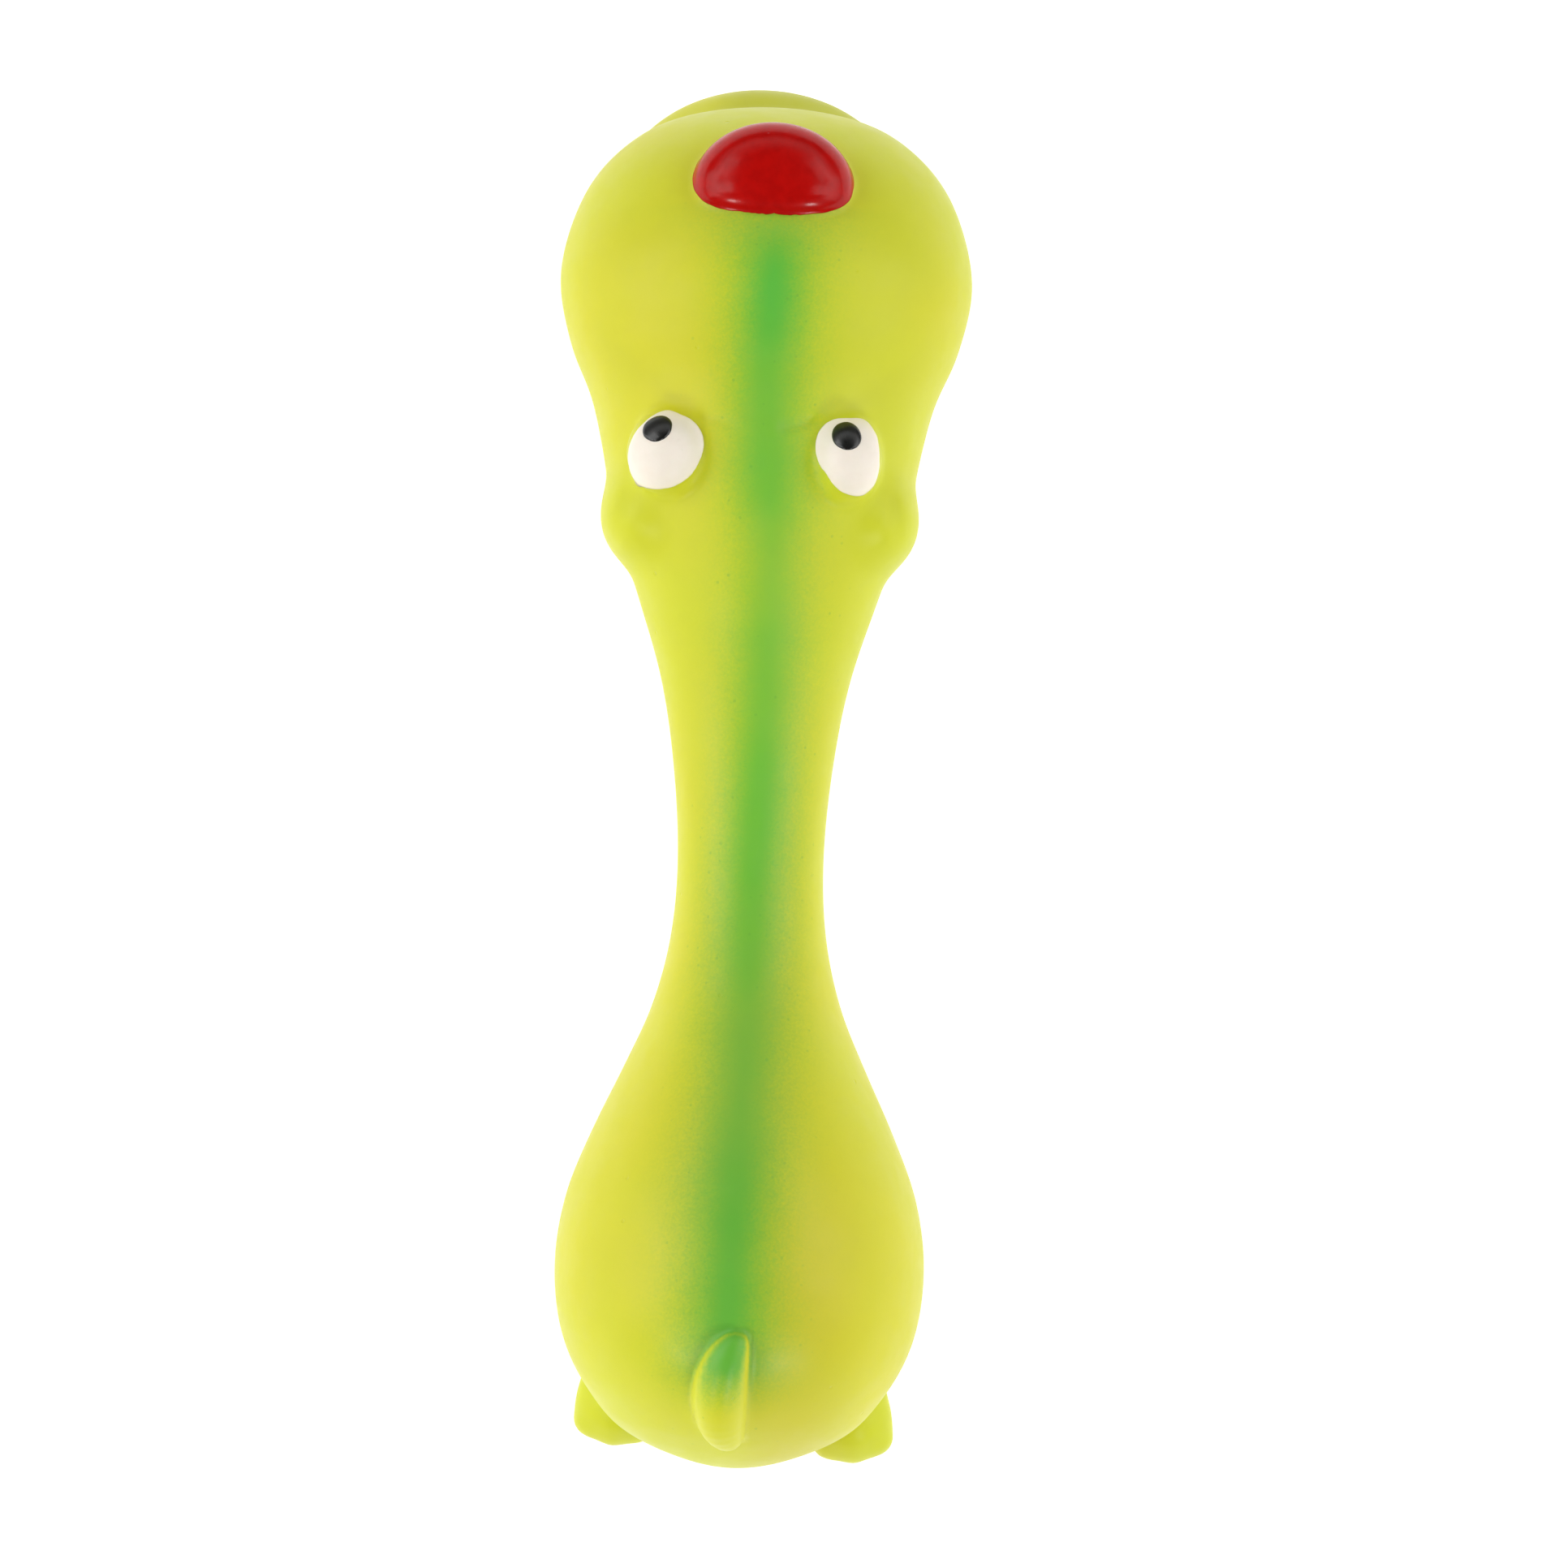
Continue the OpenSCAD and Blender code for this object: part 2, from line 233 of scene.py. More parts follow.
def tail(p):
    f = None
    for a, b in zip(TAIL_LINE[:-1], TAIL_LINE[1:]):
        d = capsule(p, a[:3], b[:3], a[3], b[3])
        f = d if f is None else np.minimum(f, d)
    return f


def groove(p, a, b, deep, wide):
    """How far a soft groove from a to b, drawn from above, lowers the surface. It fades towards both ends."""
    upper_side = p[:, 2] > 25
    u, v = p[:, :2] - np.array(a), np.array(b) - np.array(a)
    t = np.clip(u @ v / (v @ v), 0, 1)
    d = u - t[:, None] * v
    depth = deep * rise(t, -0.05, 0.3) * (1 - 0.6 * t)
    return depth * np.exp(-(d * d).sum(axis=1) / wide**2) * upper_side


# Each paw as its heel, the angle its toes point to from +Y, and its side.
PAWS = [((13.3, 65.6, 0), -7, 1), ((12.7, 67.0, 0), -7, -1),
        ((12.5, -63.5, 0), 184, 1), ((12.5, -63.5, 0), 184, -1)]


def outside(p):
    """The outer surface of the latex."""
    trunk, chin = body(p), ellipsoid(p, CHIN, CHIN_SIZE)
    f = join(trunk, chin, 2.6)
    # the mouth is a groove where the muzzle meets the chin
    f = f + 0.3 * rise(p[:, 2], 8, 15) * np.exp(-(trunk**2 + chin**2) / 1.6**2)
    f = join(f, near(p, NOSE, 14, nose), 0.8)
    for side, at in EYES.items():
        f = join(f, near(p, at, 12, lambda q: ellipsoid(q, at, EYE_SIZE[side])), 1.6)
        # a crease in front of the eye, towards the bridge
        a = (at[0] - side * 3.4, at[1] - 4.4)
        b = (at[0] - side * 7.6, at[1] - 3.2)
        f = f + groove(p, a, b, 0.8 if side < 0 else 0.4, 0.75)
    # a dent across the bridge, from its middle to each side
    for side in (1, -1):
        f = f + groove(p, (0, -40.4), (side * 9, -41.4), 0.16, 1.3)
    both_sides = np.where([True, False, False], np.abs(p), p)
    f = join(f, near(both_sides, EAR, 15, ear), 3.0)
    # a fold along each ear, deeper on the right
    f = f + groove(p, (-15.9, -32.6), (-16.8, -27.0), 0.3, 0.8)
    f = f + groove(p, (16.2, -32.6), (17.0, -27.0), 0.15, 0.8)
    for foot, angle, side in PAWS:
        forward = 10 if angle < 90 else -10
        middle = (side * foot[0], foot[1] + forward, 4)
        pad = near(p, middle, 17, lambda q: paw(q * np.array([side, 1.0, 1.0]), foot, angle))
        f = join(f, pad, 2.2)
    f = join(f, near(p, TAIL[3, :3], 14, tail), 0.7)
    return cut(f, -p[:, 2], 0.9)


WALL = 1.6
SQUEAKER = (0.0, 61.0)          # X and Y of the squeaker's upright axis
COLLAR_R, COLLAR_H = 9, 4.4
BORE_R = 4.62
RECESS_R, RECESS_H = 6.85, 1.32


def tube(p, r, low, high):
    """A solid rod on the squeaker's axis."""
    d = np.hypot(p[:, 0] - SQUEAKER[0], p[:, 1] - SQUEAKER[1]) - r
    return np.maximum(d, np.maximum(low - p[:, 2], p[:, 2] - high))


def latex(p):
    """The latex wall: the outer surface, less the hollow, with a collar round the whistle."""
    hollow = join(body(p), ellipsoid(p, CHIN, CHIN_SIZE), 2.0) + WALL
    hollow = np.maximum(hollow, WALL - p[:, 2])
    f = cut(outside(p), -hollow, 0.4)
    f = join(f, tube(p, COLLAR_R, 0, COLLAR_H), 0.6)
    f = cut(f, -tube(p, BORE_R, -3, 9), 0.15)
    return cut(f, -tube(p, RECESS_R, -3, RECESS_H), 0.15)


def settle(f, p, level=0.0, steps=3):
    """Moves the points onto the surface where f is level."""
    h = 0.02            # the step that slopes are measured over
    reach = 0.5         # the longest move in one step
    for _ in range(steps):
        here = f(p)
        g = np.stack([(f(p + h * e) - here) / h for e in np.eye(3)], axis=1)
        size = np.maximum((g * g).sum(axis=1), 0.05)
        move = -((here - level) / size)[:, None] * g
        far = np.maximum(np.linalg.norm(move, axis=1, keepdims=True) / reach, 1)
        p = p + move / far
    return p


def surface_net(f, xs, ys, zs):
    """Closed quad mesh of the surface f = 0 over a grid."""
    grid = np.stack(np.meshgrid(xs, ys, zs, indexing="ij"), axis=-1)
    shape = grid.shape[:3]
    flat = grid.reshape(-1, 3)
    d = np.concatenate([f(part) for part in np.array_split(flat, 24)]).reshape(shape)
    inside = d < 0
    cells = tuple(n - 1 for n in shape)
    total = np.zeros(cells + (3,))
    count = np.zeros(cells)
    corners = [(i, j, k) for i in (0, 1) for j in (0, 1) for k in (0, 1)]

    def corner(a, c):
        return a[c[0]:c[0] + cells[0], c[1]:c[1] + cells[1], c[2]:c[2] + cells[2]]

    for a in corners:
        for b in corners:
            if sum(b) - sum(a) == 1 and all(q >= p for p, q in zip(a, b)):
                da, db = corner(d, a), corner(d, b)
                cross = corner(inside, a) != corner(inside, b)
                t = np.where(cross, da / np.where(cross, da - db, 1), 0)[..., None]
                point = corner(grid, a) * (1 - t) + corner(grid, b) * t
                total += point * cross[..., None]
                count += cross
    used = count > 0
    index = np.full(cells, -1)
    index[used] = np.arange(used.sum())
    points = total[used] / count[used][:, None]
    faces = []
    for axis in range(3):
        u, v = [(1, 2), (2, 0), (0, 1)][axis]
        low = [slice(1, -1)] * 3
        low[axis] = slice(0, -1)
        high = [slice(1, -1)] * 3
        high[axis] = slice(1, None)
        a, b = inside[tuple(low)], inside[tuple(high)]
        here = np.argwhere(a != b)
        out = a[a != b]
        here[:, u] += 1
        here[:, v] += 1
        quad = []
        for du, dv in ((-1, -1), (0, -1), (0, 0), (-1, 0)):
            c = here.copy()
            c[:, u] += du
            c[:, v] += dv
            quad.append(index[c[:, 0], c[:, 1], c[:, 2]])
        quad = np.stack(quad, axis=1)
        quad[~out] = quad[~out][:, ::-1]
        faces.append(quad)
    return points, np.concatenate(faces)


def spaced(*stretches):
    """Grid lines along one axis: (start, end, step) stretches one after another."""
    lines = [np.linspace(a, b, round((b - a) / step), endpoint=False) for a, b, step in stretches]
    return np.concatenate(lines + [np.array([stretches[-1][1]])])


def add_object(name, data):
    obj = bpy.data.objects.new(name, data)
    bpy.context.scene.collection.objects.link(obj)
    return obj


def mesh_object(name, points, faces):
    """A smooth mesh from points in mm and faces with the same number of corners each."""
    mesh = bpy.data.meshes.new(name)
    points, faces = np.asarray(points, float), np.asarray(faces)
    mesh.vertices.add(len(points))
    mesh.vertices.foreach_set("co", (points * MM).astype(np.float32).ravel())
    sides = faces.shape[1]
    mesh.loops.add(faces.size)
    mesh.loops.foreach_set("vertex_index", faces.astype(np.int32).ravel())
    mesh.polygons.add(len(faces))
    mesh.polygons.foreach_set("loop_start", np.arange(0, faces.size, sides, dtype=np.int32))
    mesh.polygons.foreach_set("loop_total", np.full(len(faces), sides, dtype=np.int32))
    mesh.update(calc_edges=True)
    mesh.validate()
    mesh.shade_smooth()
    return add_object(name, mesh)


# ---------------------------------------------------------------- materials
class Nodes:
    """A short way to write the node tree of a material or a world."""

    def __init__(self, owner):
        self.owner = owner
        owner.use_nodes = True
        self.tree = owner.node_tree

    def add(self, kind, **sockets):
        """A node; _name sets one of its own values, i0, i1... an input by number, the rest inputs by name."""
        node = self.tree.nodes.new(kind)
        for key, value in sockets.items():
            if key.startswith("_"):
                setattr(node, key[1:], value)
                continue
            by_number = key[0] == "i" and key[1:].isdigit()
            self.put(node.inputs[int(key[1:]) if by_number else key.replace("_", " ")], value)
        return node

    def put(self, socket, value):
        if hasattr(value, "is_output"):
            self.tree.links.new(value, socket)
        else:
            socket.default_value = value

    def math(self, operation, a, b=0.0, c=0.0, clamp=False):
        return self.add("ShaderNodeMath", _operation=operation, _use_clamp=clamp, i0=a, i1=b, i2=c).outputs[0]

    def ramp(self, value, low, high, start=0.0, end=1.0):
        """Smooth step of value between low and high."""
        return self.add("ShaderNodeMapRange", _interpolation_type="SMOOTHSTEP", Value=value, From_Min=low,
                        From_Max=high, To_Min=start, To_Max=end).outputs[0]

    def noise(self, scale, detail=2.0, rough=0.5, vector=None):
        node = self.add("ShaderNodeTexNoise", Scale=scale, Detail=detail, Roughness=rough)
        self.put(node.inputs["Vector"], vector or self.place())
        return node.outputs["Fac"]

    def place(self):
        """The point on the object, in metres."""
        if not hasattr(self, "_place"):
            self._place = self.add("ShaderNodeTexCoord").outputs["Object"]
            self._split = self.add("ShaderNodeSeparateXYZ", Vector=self._place)
        return self._place

    def axis(self, i):
        self.place()
        return self._split.outputs[i]

    def curve(self, along, values):
        """A smooth curve over the toy's length: (share of the length, value) pairs."""
        share = self.add("ShaderNodeMapRange", Value=along, From_Min=-0.086, From_Max=0.086).outputs[0]
        node = self.add("ShaderNodeFloatCurve", Factor=1.0, Value=share)
        line = node.mapping.curves[0]
        line.points[0].location, line.points[-1].location = values[0], values[-1]
        for point in values[1:-1]:
            line.points.new(*point)
        node.mapping.update()
        return node.outputs[0]

    def mix(self, factor, a, b):
        """Colour a, going over to colour b as factor goes to 1."""
        node = self.add("ShaderNodeMix", _data_type="RGBA", _blend_type="MIX", _clamp_factor=True)
        for i, value in ((0, factor), (6, a), (7, b)):
            self.put(node.inputs[i], value)
        return node.outputs[2]

    def bump(self, height, distance, strength=1.0, normal=None):
        node = self.add("ShaderNodeBump", Strength=strength, Distance=distance, Height=height)
        if normal is not None:
            self.put(node.inputs["Normal"], normal)
        return node.outputs["Normal"]

    def finish(self, **sockets):
        """Fills the shader's inputs and returns the material."""
        shader = self.tree.nodes["Principled BSDF"]
        for key, value in sockets.items():
            self.put(shader.inputs[key.replace("_", " ")], value)
        return self.owner


def new_material(name):
    return Nodes(bpy.data.materials.new(name))


def colour(r, g, b):
    """Screen red, green and blue from 0 to 255 as a linear colour."""
    def line(v):
        v /= 255
        return v / 12.92 if v <= 0.04045 else ((v + 0.055) / 1.055) ** 2.4
    return (line(r), line(g), line(b), 1.0)


def latex_material():
    n = new_material("lime_latex")
    x, y, z = n.axis(0), n.axis(1), n.axis(2)
    # the lime itself, a little uneven
    broad = n.noise(26, 2, 0.5)
    base = n.mix(n.ramp(broad, 0.35, 0.68), colour(215, 220, 38), colour(220, 216, 34))
    mottle = n.noise(140, 3, 0.6)
    base = n.mix(n.ramp(mottle, 0.30, 0.75, 0.0, 0.2), base, colour(206, 212, 35))
    # painted shade: a darker mustard beside the stripe on the right of the rump
    rump_painted_shade = n.ramp(n.math("ABSOLUTE", n.math("ADD", x, 0.0075)), 0.001, 0.010, 1.0, 0.0)
    rump_painted_shade = n.math("MULTIPLY", rump_painted_shade, n.ramp(y, 0.044, 0.066))
    base = n.mix(n.math("MULTIPLY", rump_painted_shade, 0.5), base, colour(206, 194, 34))
    # airbrushed stripe: its middle wanders a little along the back
    middle = n.math("MULTIPLY", n.math("SUBTRACT", n.curve(y, STRIPE_MIDDLE), 0.5), 0.010)
    across = n.math("ABSOLUTE", n.math("SUBTRACT", x, middle))
    wander = n.math("MULTIPLY", n.math("SUBTRACT", n.noise(55, 2, 0.5), 0.5), 0.0022)
    across = n.math("ADD", across, wander)
    # its cover falls off softly to the sides, a little wider over the rump
    wide = n.math("MULTIPLY", n.curve(y, STRIPE_WIDTH), 0.01)
    soft = n.math("EXPONENT", n.math("MULTIPLY", n.math("POWER", n.math("DIVIDE", across, wide), 2.0), -0.5))
    start = n.ramp(y, -0.0700, -0.0575, 0.4, 1.0)
    behind = n.ramp(y, -0.0668, -0.0655)
    end = n.ramp(y, 0.0730, 0.0805, 1.0, 0.0)
    surface_normal = n.add("ShaderNodeNewGeometry").outputs["Normal"]
    facing = n.add("ShaderNodeSeparateXYZ", Vector=surface_normal).outputs[2]
    above = n.math("MULTIPLY", n.ramp(z, 0.018, 0.026), n.ramp(facing, 0.25, 0.8))
    spray = n.math("MULTIPLY", n.math("MULTIPLY", soft, start), n.math("MULTIPLY", end, above))
    spray = n.math("MULTIPLY", spray, behind)
    fine = n.math("SUBTRACT", n.noise(2800, 2, 0.75), 0.5)
    coarse = n.math("SUBTRACT", n.noise(900, 3, 0.7), 0.5)
    grain = n.math("ADD", n.math("MULTIPLY", fine, 0.9), n.math("MULTIPLY", coarse, 0.35))
    # the grain shows most where the cover is thin
    open_part = n.math("MULTIPLY", n.math("MULTIPLY", spray, n.math("SUBTRACT", 1.0, spray)), 4.0)
    dots = n.math("ADD", spray, n.math("MULTIPLY", grain, n.math("MULTIPLY", open_part, 0.75)), clamp=True)
    strength = n.curve(y, STRIPE_STRENGTH)
    patchy = n.ramp(n.noise(60, 2, 0.5), 0.25, 0.75, 0.94, 1.02)
    cover = n.math("MULTIPLY", dots, n.math("MULTIPLY", strength, patchy), clamp=True)
    green = n.mix(n.ramp(y, 0.0, 0.04), colour(99, 195, 65), colour(106, 185, 59))
    base = n.mix(cover, base, green)
    # painted shade: the lip is a deeper lime, standing for the shade in the gap under the muzzle
    lip_painted_shade = n.math("MULTIPLY", n.ramp(y, -0.0820, -0.0795, 1.0, 0.0), n.ramp(z, 0.020, 0.026, 1.0, 0.0))
    lip_painted_shade = n.math("MULTIPLY", lip_painted_shade, n.ramp(n.math("ABSOLUTE", n.math("ADD", x, 0.003)), 0.006, 0.012, 1.0, 0.0))
    base = n.mix(n.math("MULTIPLY", lip_painted_shade, 0.75), base, colour(196, 198, 22))
    # a few stray drops of the spray, and rare small dark specks
    drops = n.add("ShaderNodeTexVoronoi", Scale=800.0, Vector=n.place())
    rare = n.ramp(n.add("ShaderNodeSeparateColor", Color=drops.outputs["Color"]).outputs[0], 0.80, 0.82)
    drop = n.math("MULTIPLY", n.ramp(drops.outputs["Distance"], 0.10, 0.20, 1.0, 0.0), rare)
    close = n.math("MULTIPLY", n.ramp(across, 0.004, 0.014, 1.0, 0.0), n.math("MULTIPLY", above, start))
    base = n.mix(n.math("MULTIPLY", n.math("MULTIPLY", drop, close), 0.35), base, colour(110, 178, 60))
    specks = n.add("ShaderNodeTexVoronoi", Scale=150.0, Vector=n.place())
    few = n.ramp(n.add("ShaderNodeSeparateColor", Color=specks.outputs["Color"]).outputs[1], 0.86, 0.88)
    dark = n.math("MULTIPLY", n.ramp(specks.outputs["Distance"], 0.018, 0.034, 0.5, 0.0), few)
    base = n.mix(dark, base, colour(120, 116, 40))
    # surface: satin, with faint orange peel and a few pits
    peel = n.noise(900, 3, 0.55)
    swell = n.noise(190, 2, 0.5)
    normal = n.bump(swell, 0.00012, 0.5)
    normal = n.bump(peel, 0.00003, 0.35, normal)
    normal = n.bump(n.ramp(specks.outputs["Distance"], 0.02, 0.05), 0.00012, 0.6, normal)
    rough = n.ramp(n.noise(300, 3, 0.6), 0.3, 0.7, 0.40, 0.50)
    return n.finish(
        Base_Color=base, Roughness=rough, Normal=normal,
        Subsurface_Weight=0.35, Subsurface_Radius=(0.004, 0.004, 0.0012), Subsurface_Scale=0.6,
        Sheen_Weight=0.12, Sheen_Roughness=0.4, Sheen_Tint=(1.0, 1.0, 0.86, 1.0),
        Specular_IOR_Level=0.36, IOR=1.5)


def darker(tone, share):
    return tuple(share * c for c in tone[:3]) + (1.0,)


def paint_material(name, body_colour, deep_colour, rough, coat, shine=0.5):
    """Brushed paint, a little streaky and pitted, with painted shade along its rim."""
    n = new_material(name)
    streak = n.noise(700, 3, 0.6)
    base = n.mix(n.ramp(streak, 0.3, 0.75, 0.0, 0.7), body_colour, deep_colour)
    rim = n.add("ShaderNodeAttribute", _attribute_name="rim")
    # painted shade: darker along the coat's rim, where its thick edge falls off
    base = n.mix(n.ramp(rim.outputs["Fac"], 0.955, 0.995, 0.0, 0.75), base, darker(deep_colour, 0.4))
    pits = n.add("ShaderNodeTexVoronoi", Scale=420.0, Vector=n.place())
    normal = n.bump(n.noise(260, 2, 0.5), 0.00016, 0.45)
    normal = n.bump(n.ramp(pits.outputs["Distance"], 0.03, 0.08), 0.00006, 0.5, normal)
    return n.finish(
        Base_Color=base, Roughness=n.ramp(n.noise(500, 2, 0.5), 0.3, 0.7, rough, rough * 1.35), Normal=normal,
        Specular_IOR_Level=shine, Coat_Weight=coat, Coat_Roughness=0.06, Subsurface_Weight=0.05,
        Subsurface_Scale=0.0006)


def plastic_material(name, tone, rough, clear=0.0, glow=0.25):
    n = new_material(name)
    base = n.mix(n.ramp(n.noise(400, 3, 0.6), 0.3, 0.7, 0.0, 0.5), tone, darker(tone, 0.93))
    normal = n.bump(n.noise(1500, 2, 0.5), 0.00002, 0.3)
    return n.finish(
        Base_Color=base, Roughness=n.ramp(n.noise(600, 2, 0.5), 0.3, 0.7, rough, rough + 0.08), Normal=normal,
        Transmission_Weight=clear, Subsurface_Weight=glow, Subsurface_Scale=0.002)


def fibre_material():
    n = new_material("fibre_fill")
    strands = n.add("ShaderNodeTexWave", Scale=700.0, Distortion=14.0, Detail=3.0, Detail_Scale=2.2,
                    Vector=n.place())
    loft = n.noise(240, 4, 0.65)
    base = n.mix(n.ramp(loft, 0.3, 0.7), colour(236, 236, 232), colour(250, 250, 248))
    normal = n.bump(strands.outputs["Fac"], 0.0002, 0.5)
    normal = n.bump(loft, 0.0005, 0.7, normal)
    return n.finish(Base_Color=base, Roughness=0.95, Normal=normal, Sheen_Weight=0.6, Sheen_Roughness=0.6)


# The stripe along the back, as (share of the length from the front, value) pairs. Its half width is in cm,
# its strength goes to 1, and its middle lies in the middle plane at 0.5 and 1 mm to the left per 0.1 above.
STRIPE_WIDTH = [(0.0, 0.54), (0.12, 0.52), (0.15, 0.42), (0.19, 0.365), (0.4, 0.355), (0.52, 0.325),
                (0.58, 0.34), (0.64, 0.385), (0.70, 0.415), (1.0, 0.42)]
STRIPE_STRENGTH = [(0.0, 0.95), (0.13, 0.95), (0.19, 1.0), (0.235, 0.88), (0.27, 0.86), (0.31, 0.90),
                   (0.345, 0.74), (0.385, 0.68), (0.42, 0.80), (0.47, 0.82), (0.53, 0.93), (0.64, 0.90),
                   (0.70, 0.84), (0.76, 0.92), (0.82, 1.0), (1.0, 1.0)]
STRIPE_MIDDLE = [(0.0, 0.42), (0.12, 0.42), (0.16, 0.40), (0.24, 0.45), (0.30, 0.41), (0.36, 0.34),
                 (0.44, 0.37), (0.53, 0.41), (0.60, 0.46), (0.72, 0.50), (0.82, 0.58), (0.9, 0.60), (1.0, 0.58)]

LATEX = latex_material()
RED = paint_material("red_paint", colour(190, 15, 12), colour(171, 12, 10), 0.17, 0.0, shine=0.2)
WHITE = paint_material("white_paint", colour(255, 244, 229), colour(252, 240, 224), 0.4, 0.05)
BLACK = paint_material("black_paint", colour(22, 22, 20), colour(32, 32, 29), 0.24, 0.3)
FIBRE = fibre_material()
WHISTLE = plastic_material("whistle_plastic", colour(236, 233, 220), 0.38)
REED_PLASTIC = plastic_material("reed_plastic", colour(240, 240, 238), 0.3)
REED_FILM = plastic_material("reed_film", colour(214, 224, 230), 0.12, clear=0.5, glow=0.0)
BELLOWS = plastic_material("bellows_plastic", colour(236, 236, 228), 0.42, glow=0.5)


def dress(obj, material):
    obj.data.materials.clear()
    obj.data.materials.append(material)
    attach(obj, "dog")
    return obj


# ---------------------------------------------------------------- skin
xs = spaced((-26.3, 26.3, 0.56))
ys = spaced((-87.2, -26, 0.48), (-26, 62, 0.95), (62, 87.2, 0.52))
zs = spaced((-0.7, 46.6, 0.56))
points, faces = surface_net(latex, xs, ys, zs)
points = settle(latex, points)
points[:, 2] = np.maximum(points[:, 2], 0)
skin = mesh_object("dog_skin", points, faces)
dress(skin, LATEX)
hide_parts("latex_skin")


# ---------------------------------------------------------------- painted coats
def outline(radii, angle):
    """A closed smooth outline through radii at equal angles, by a periodic curve."""
    n = len(radii)
    u = (angle / (2 * math.pi)) * n % n
    i = np.floor(u).astype(int)
    t = u - i
    return smooth_curve(*(np.array(radii)[(i + k) % n] for k in (-1, 0, 1, 2)), t)


def coat(name, place, under, thick, edge, rings=40, spokes=160):
    """A thin closed coat on the surface under(p) = 0, thinning out over the last share, edge, of its width.

    place(share, angle) gives its points, from the middle, where share is 0, to its rim, where it is 1.
    """
    sunk = -0.12                # how deep its lower side lies below the surface
    share = np.linspace(0, 1, rings + 1)[1:]
    angle = np.linspace(0, 2 * math.pi, spokes, endpoint=False)
    s, a = (v.ravel() for v in np.meshgrid(share, angle, indexing="ij"))
    start = np.vstack([place(np.zeros(1), np.zeros(1)), place(s, a)])
    s = np.concatenate([[0.0], s])
    swell = np.sqrt(np.clip(1 - np.clip((s - 1 + edge) / edge, 0, 1) ** 2, 0, 1))
    top = settle(under, start, thick * swell, 5)
    low = settle(under, start, np.full(len(s), sunk), 5)
    n = len(top)
    points = np.vstack([top, low])
    ring = np.arange(spokes)
    nxt = (ring + 1) % spokes
    quads = []
    for r in range(rings - 1):
        a0, b0 = 1 + r * spokes, 1 + (r + 1) * spokes
        quads.append(np.stack([a0 + ring, b0 + ring, b0 + nxt, a0 + nxt], 1))
    quads = np.concatenate(quads)
    fan = np.stack([np.zeros(spokes, int), 1 + ring, 1 + nxt, 1 + nxt], 1)
    rim = 1 + (rings - 1) * spokes
    wall = np.stack([rim + ring, n + rim + ring, n + rim + nxt, rim + nxt], 1)
    faces = np.concatenate([quads, quads[:, ::-1] + n, wall])
    mesh = bpy.data.meshes.new(name)
    fans = [tuple(f[:3]) for f in fan] + [tuple(f[:3][::-1] + n) for f in fan]
    polygons = [tuple(f) for f in faces.tolist()] + [tuple(int(i) for i in f) for f in fans]
    mesh.from_pydata([tuple(v) for v in points * MM], [], polygons)
    mesh.update()
    mesh.validate()
    mesh.shade_smooth()
    rim = mesh.attributes.new("rim", "FLOAT", "POINT")
    rim.data.foreach_set("value", np.concatenate([s, s]).astype(np.float32))
    return add_object(name, mesh)


def waver(angle, seed, size):
    """The small unevenness of a hand-painted edge."""
    rng = np.random.default_rng(seed)
    total = 0
    for k in (3, 5, 8, 13, 21, 34):
        total = total + np.sin(k * angle + rng.uniform(0, 6.28)) * rng.uniform(0.4, 1.0) / k**0.6
    return size * total


def cast(f, origin, direction, far):
    """Where rays from far along each direction, coming back to the origin, meet the surface."""
    t = np.full(len(direction), float(far))
    for _ in range(26):
        t = t - 0.8 * f(origin + direction * t[:, None])
    return origin + direction * t[:, None]


def eye_place(eye, radii, seed, shift=(0, 0), size=0.05):
    """Places a painted shape on an eye from above: radii give its outline, shift its middle."""
    below = 34.0                # a height inside the eye's bulge
    def place(share, angle):
        r = share * (outline(radii, angle) + waver(angle, seed, size))
        x = eye[0] + shift[0] - r * np.cos(angle)
        y = eye[1] + shift[1] - r * np.sin(angle)
        low = np.stack([x, y, np.full_like(x, below)], 1)
        return cast(outside, low, np.tile([0.0, 0.0, 1.0], (len(x), 1)), 14)
    return place


def nose_ray(tilt, angle):
    """Angle 0 is the dog's right and pi / 2 its front; tilt is from straight up."""
    return np.stack([-np.sin(tilt) * np.cos(angle), -np.sin(tilt) * np.sin(angle), np.cos(tilt)], 1)


NOSE_CORE = np.array([NOSE[0], NOSE[1], 36.0])      # a point inside the dome that its rays start from
RIM_ANGLES = np.linspace(0, 2 * math.pi, 97)


def nose_rim():
    """The tilt at which each direction's ray leaves the dome, over the nose's edge."""
    off_dome = 0.16
    tilts = np.radians(np.linspace(25, 125, 101))
    tilt, angle = (v.ravel() for v in np.meshgrid(tilts, RIM_ANGLES[:-1]))
    hit = cast(outside, NOSE_CORE, nose_ray(tilt, angle), 13)
    off = (nose(hit) > off_dome).reshape(len(RIM_ANGLES) - 1, len(tilts))
    rims = tilts[np.where(off.any(axis=1), np.argmax(off, axis=1), -1)]
    return np.convolve(np.pad(rims, 1, mode="wrap"), np.ones(3) / 3, mode="valid")


RIM = nose_rim()


def nose_place(share, angle):
    reach = np.interp(angle % (2 * math.pi), RIM_ANGLES, np.append(RIM, RIM[0]))
    reach = reach + waver(angle, 4, 0.03)
    return cast(outside, NOSE_CORE, nose_ray(share * reach, angle), 13)


